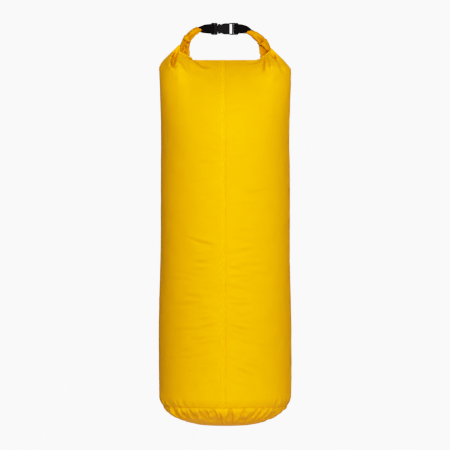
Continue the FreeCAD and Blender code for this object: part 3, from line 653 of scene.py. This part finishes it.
def arm_cloth(side):
    """The roll from the middle of the mouth, round the elbow and up the arm to the webbing."""
    u, x, z, half, tx, tz = spine(ARM[side], 170)
    whole = u[-1]
    nx, nz = (tz, -tx) if side == RIGHT else (-tz, tx)
    phi = np.linspace(0, 2 * PI, 65)[:-1]
    c, sn = np.cos(phi)[None], np.sin(phi)[None]
    depth = np.interp(u, [0, 70, 100, 150, whole], [6.1, 6.1, 11.0, 10.4, 6.6])[:, None]
    across = half[:, None] * np.sign(c) * np.abs(c) ** 0.95
    back = depth * sn
    px = x[:, None] + nx[:, None] * across
    pz = z[:, None] + nz[:, None] * across
    on_arm = smooth((u - 78) / 30)[:, None]
    # Creases that wind round the arm with its twist.
    rng = np.random.default_rng(70 + side)
    bump = np.zeros((len(u), len(phi)))
    for turns, wave, height in ((1, 33, 1.4), (-2, 47, 1.0), (1, 14.5, 0.4)):
        turn = (phi[None] * turns / (2 * PI) + u[:, None] / wave + 0.12 * np.sin(u[:, None] / 7)
                + rng.uniform(0, 1)) % 1
        bump += height * np.where(turn < 0.88, turn / 0.88 - 0.5, 0.5 - smooth((turn - 0.88) / 0.12))
    bump *= (0.35 + 0.85 * on_arm) * smooth(u / 25)[:, None]
    grain = np.stack([px, back, pz], -1)
    bump += 0.08 * ripple(grain, 9, 75) + 0.3 * ripple(grain, 22, 76)
    for args in ARM_FOLDS[side]:
        bump += on_arm * fold(px, pz, *args) * smooth(-sn * 2.2)
    if side == RIGHT:
        # The outer turn of cloth ends in an edge across the arm.
        edge = (pz - 823.5) * 0.72 + (px - 79) * -0.70
        bump += (3.0 * smooth(-edge / 1.3) - 0.8) * on_arm * smooth(-sn * 2 + 0.6)
    deepest = np.interp(u, [0, whole - 34, whole - 18], [-7.0, -7.0, -2.4])[:, None]
    bump = np.maximum(bump, deepest)
    bump = np.where(sn > 0, np.maximum(bump, -0.7), bump)
    lines = 0.5 * np.exp(-((across + 3.5) / 1.0) ** 2) + 0.4 * np.exp(-((across - 4.5) / 1.0) ** 2)
    bump -= lines * (1 - on_arm) * (sn > 0)
    out = np.stack([nx[:, None] * c / half[:, None], sn / depth, nz[:, None] * c / half[:, None]],
                   -1)
    out /= np.linalg.norm(out, axis=-1, keepdims=True)
    grid = np.stack([px, ROLL_Y + back, pz], -1) + out * bump[..., None]
    slant = smooth((u - whole + 14) / 14)[:, None] * across * -0.55
    grid[..., 0] += tx[:, None] * slant
    grid[..., 2] += tz[:, None] * slant
    end = grid[-1].mean(0)
    inside = [end + (grid[-1] - end) * k - np.array([tx[-1], 0, tz[-1]]) * d
              for k, d in ((0.9, -0.3), (0.78, 0.6), (0.55, 3), (0.2, 5))]
    return grid_piece(f"{NAMES[side]}_roll_cloth", np.concatenate([grid, inside]), ROLLED_SHADED_YELLOW,
                      wrap=True, flip=side == RIGHT)


# The lip's line from the fold's peak to the mouth: x, z and radius.
LIP = {
    LEFT: [(-99.5, 807, 1.2), (-97, 801.5, 1.9), (-92, 797.2, 2.1), (-86, 794, 2.2), (-80, 791, 2.4),
           (-75, 789, 2.6), (-72, 786.5, 2.2), (-71.6, 784, 1.2)],
    RIGHT: [(96.5, 808, 1.0), (95.5, 803, 1.5), (91.5, 798.6, 1.6), (86, 794.3, 1.6), (80.5, 790, 1.6),
            (74, 786, 1.5), (66, 783.6, 1.4), (58, 782.6, 0.8)],
}


def lip_cloth(side):
    """The rounded edge of cloth where the shoulder fold meets the arm."""
    u, x, z, r, tx, tz = spine(LIP[side], 60)
    phi = np.linspace(0, 2 * PI, 17)[:-1]
    r = r[:, None] * (1 + 0.12 * np.sin(u / 2.1)[:, None] * np.sin(phi + u[:, None] / 3))
    y = np.interp(u, [0, u[-1]], [-2.6, -1.9])[:, None] - r * 0.4 * np.sin(phi)
    y = y - r * np.sin(phi) * 0.8 + 4.4 * np.clip(-np.sin(phi), 0, 1) * smooth(u / 6)[:, None]
    grid = np.stack([x[:, None] + tz[:, None] * r * np.cos(phi), y,
                     z[:, None] - tx[:, None] * r * np.cos(phi)], -1)
    caps = [ends.mean(0) + (ends - ends.mean(0)) * 0.02 for ends in (grid[0], grid[-1])]
    return grid_piece(f"{NAMES[side]}_fold_lip", np.concatenate([caps[:1], grid, caps[1:]]), YELLOW,
                      wrap=True)


# ---------- webbing ----------
# Middle line of each tab from inside the arm to the buckle's bar: x, z and half width.
TAB = {
    LEFT: [(-70, 842.5, 5), (-64, 846.8, 5), (-58, 849.8, 5.6), (-52, 850.8, 7.2), (-47, 851.2, 8.8),
           (-41, 851.8, 9.8), (-34, 851.8, 10.4), (-25.2, 851.8, 10.6)],
    RIGHT: [(66, 836, 5), (60.5, 841, 5), (55, 844.9, 5.6), (49, 848, 7.4), (43, 850.2, 8.9),
            (37, 851.4, 9.7), (30, 851.8, 10.4), (19.7, 851.8, 10.6)],
}


def webbing(side):
    """A tab of webbing from inside the arm, round the buckle's bar and back."""
    u, x, z, half, tx, tz = spine(TAB[side], 60)
    gap = np.interp(u[-1] - u, [0, 8, 18, 60], [2.4, 2.4, 0.9, 0.9])
    bend = np.linspace(-PI / 2, PI / 2, 13)[1:-1]
    middle = np.concatenate([np.stack([x, ROLL_Y - gap, z], -1),
                             np.stack([x[-1] + tx[-1] * 1.2 * np.cos(bend),
                                       ROLL_Y + 2.4 * np.sin(bend),
                                       z[-1] + tz[-1] * 1.2 * np.cos(bend)], -1),
                             np.stack([x, ROLL_Y + gap, z], -1)[::-1]])
    halves = np.concatenate([half, np.full(len(bend), half[-1]), half[::-1]])
    ply = np.stack([-tz, 0 * tz, tx], -1)
    wide = np.concatenate([ply, np.tile(ply[-1], (len(bend), 1)), ply[::-1]])
    run = np.gradient(middle, axis=0)
    thick = np.cross(run, wide)
    thick /= np.linalg.norm(thick, axis=1, keepdims=True)
    t = np.linspace(-1, 1, 15)
    top = np.stack([t, 0.62 * (1 - np.abs(t) ** 8) ** 0.5 * (1 + 0.06 * np.cos(t * 9 * PI))], -1)
    section = np.concatenate([top, top[::-1][1:-1] * [1, -1]])
    grid = (middle[:, None] + wide[:, None] * halves[:, None, None] * section[None, :, :1]
            + thick[:, None] * section[None, :, 1:])
    crush = np.clip((10 - halves) / 5, 0, 1)[:, None]
    grid[..., 1] += crush * 0.7 * np.sin(section[None, :, 0] * 7) * np.sign(ROLL_Y - middle[:, 1:2]) * -1
    return grid_piece(f"{NAMES[side]}_web", grid, WEBBING, wrap=True)


# ---------- build ----------
for side, name in NAMES.items():
    arm = f"{name}_arm"
    cloth, lip = bag_half(side), lip_cloth(side)
    roll, web = arm_cloth(side), webbing(side)
    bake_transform(cloth)
    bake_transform(lip)
    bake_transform(roll)
    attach(web, arm)
    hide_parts(f"{name}_shoulder_fold")
    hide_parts(f"{name}_roll")
    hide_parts(f"{name}_webbing")
for piece, slot, nodes in ((base_cloth(), "coated_cloth", ["base_panel"]),
                           (seam_strip(), "coated_cloth", ["front_seam"]),
                           (front_stitches(), "thread", ["front_seam_threads"]),
                           (base_stitches(), "thread", ["base_seam_thread"])):
    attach(piece, "bag")
    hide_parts(*nodes)
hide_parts("body_panel")
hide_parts("middle_roll")

CAD_MATERIALS = {
    "front_seam_tape": TAPE, "base_seam_tape": TAPE, "middle_stiffeners": STIFFENER_SHADE_TONE,
    "left_stiffeners": STIFFENER_SHADE_TONE, "right_stiffeners": STIFFENER_SHADE_TONE,
    "left_bartack": WEBBING, "right_bartack": WEBBING,
    "male_half": PLASTIC, "female_half": PLASTIC, "upper_prong": PLASTIC, "lower_prong": PLASTIC,
}
for name, material in CAD_MATERIALS.items():
    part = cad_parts[name]
    part.data.materials.clear()
    part.data.materials.append(material)


# ---------- stage ----------
AMBIENT = 0.13  # light from the room
WALL = 1.45  # floor and wall as the camera sees them
FLOOR_GLOW = 0.55  # the floor's own light on the bag's underside
VIEW_CURVE = [(0.4, 0.4), (0.5, 0.491), (0.625, 0.59), (0.79, 0.7), (1.0, 0.8), (1.22, 0.885),
              (1.45, 0.947)]
# Soft boxes: name, place and aim in metres, size, power in watts and spread in degrees.
LAMPS = [("key", (0.3, -3.2, 1.4), (0, 0, 0.58), (1.1, 1.1), 23.8, 70),
         ("back", (0.2, 3.6, 0.7), (0, 0, 0.45), (1.0, 1.2), 105, 180),
         ("side_left", (-3.0, 1.0, 0.6), (0, 0, 0.45), (0.8, 1.2), 16, 180),
         ("side_right", (3.0, 1.0, 0.6), (0, 0, 0.45), (0.8, 1.2), 16, 180)]
LENS = 297.7  # with a 36 mm sensor at 8 m, 2.15 mm of the bag to a pixel


def stage():
    """Floor, room, lights and camera. Camera rays see an even pale floor and wall; others see a
    grey floor that glows a little in front of the base."""
    scene = bpy.context.scene
    scene.view_settings.view_transform = "Standard"
    # A soft shoulder, as a camera has: bright yellow keeps its colour instead of clipping.
    scene.view_settings.use_curve_mapping = True
    shoulder = scene.view_settings.curve_mapping
    shoulder.clip_max_x = 2.0
    curve = shoulder.curves[3]
    curve.points[1].location = (2.0, 1.0)
    for light, shown in VIEW_CURVE:
        curve.points.new(light, shown)
    shoulder.update()
    world = bpy.data.worlds.new("studio")
    scene.world = world
    world.use_nodes = True
    tree = world.node_tree
    room = tree.nodes["Background"]
    room.inputs["Color"].default_value = (0.92, 0.93, 1.0, 1)
    room.inputs["Strength"].default_value = AMBIENT
    wall = node(tree, "ShaderNodeBackground", {"Color": (1, 1, 1, 1), "Strength": WALL})
    ray = node(tree, "ShaderNodeLightPath")
    pick = node(tree, "ShaderNodeMixShader", {0: ray.outputs["Is Camera Ray"], 1: room.outputs[0],
                                              2: wall.outputs[0]})
    tree.links.new(pick.outputs[0], tree.nodes["World Output"].inputs["Surface"])

    material, tree, shader = new_material("pale_floor", (0.22, 0.22, 0.22), 0.9)
    shader.inputs["Emission Color"].default_value = (1, 1, 1, 1)
    shader.inputs["Emission Strength"].default_value = FLOOR_GLOW
    rings = np.array([0.001, 0.3, 0.6, 1.0, 1.5, 2, 2.6]) * 1000
    turn = np.linspace(0, 2 * PI, 65)[:-1]
    grid = rings[:, None, None] * np.stack([np.cos(turn), np.sin(turn), 0 * turn], -1)
    floor = grid_piece("floor", grid, material, wrap=True)
    place = node(tree, "ShaderNodeNewGeometry").outputs["Position"]
    reach = node(tree, "ShaderNodeVectorMath", {0: place, 1: (0, -0.14, 0)}, operation="DISTANCE")
    fade = node(tree, "ShaderNodeMapRange", {"Value": reach.outputs["Value"], "From Min": 0.1,
                                             "From Max": 0.38}, interpolation_type="SMOOTHSTEP")
    clear = node(tree, "ShaderNodeBsdfTransparent")
    shown = node(tree, "ShaderNodeEmission", {"Color": (1, 1, 1, 1), "Strength": WALL})
    ray = node(tree, "ShaderNodeLightPath")
    seen = node(tree, "ShaderNodeMixShader", {0: ray.outputs["Is Camera Ray"], 1: shader.outputs[0],
                                              2: shown.outputs[0]})
    mix = node(tree, "ShaderNodeMixShader", {0: fade.outputs[0], 1: seen.outputs[0],
                                             2: clear.outputs[0]})
    tree.links.new(mix.outputs[0], tree.nodes["Material Output"].inputs["Surface"])

    for name, place, aim, size, power, spread in LAMPS:
        data = bpy.data.lights.new(name, "AREA")
        data.shape, data.size, data.size_y, data.energy = "RECTANGLE", *size, power
        data.spread = math.radians(spread)
        lamp = bpy.data.objects.new(name, data)
        lamp.location = place
        way = np.array(aim) - np.array(place)
        yaw = math.atan2(way[1], way[0]) - PI / 2
        pitch = math.atan2(way[2], math.hypot(way[0], way[1]))
        lamp.rotation_euler = (PI / 2 + pitch, 0, yaw)
        lamp.visible_camera = False
        lamp.visible_glossy = name == "key"
        scene.collection.objects.link(lamp)

    data = bpy.data.cameras.new("camera")
    data.lens, data.sensor_width = LENS, 36
    data.clip_start, data.clip_end = 0.1, 400
    camera = bpy.data.objects.new("camera", data)
    camera.location = (-0.0005, -8.0, 0.4297)
    camera.rotation_euler = (PI / 2, 0, 0)
    scene.collection.objects.link(camera)
    scene.camera = camera


stage()
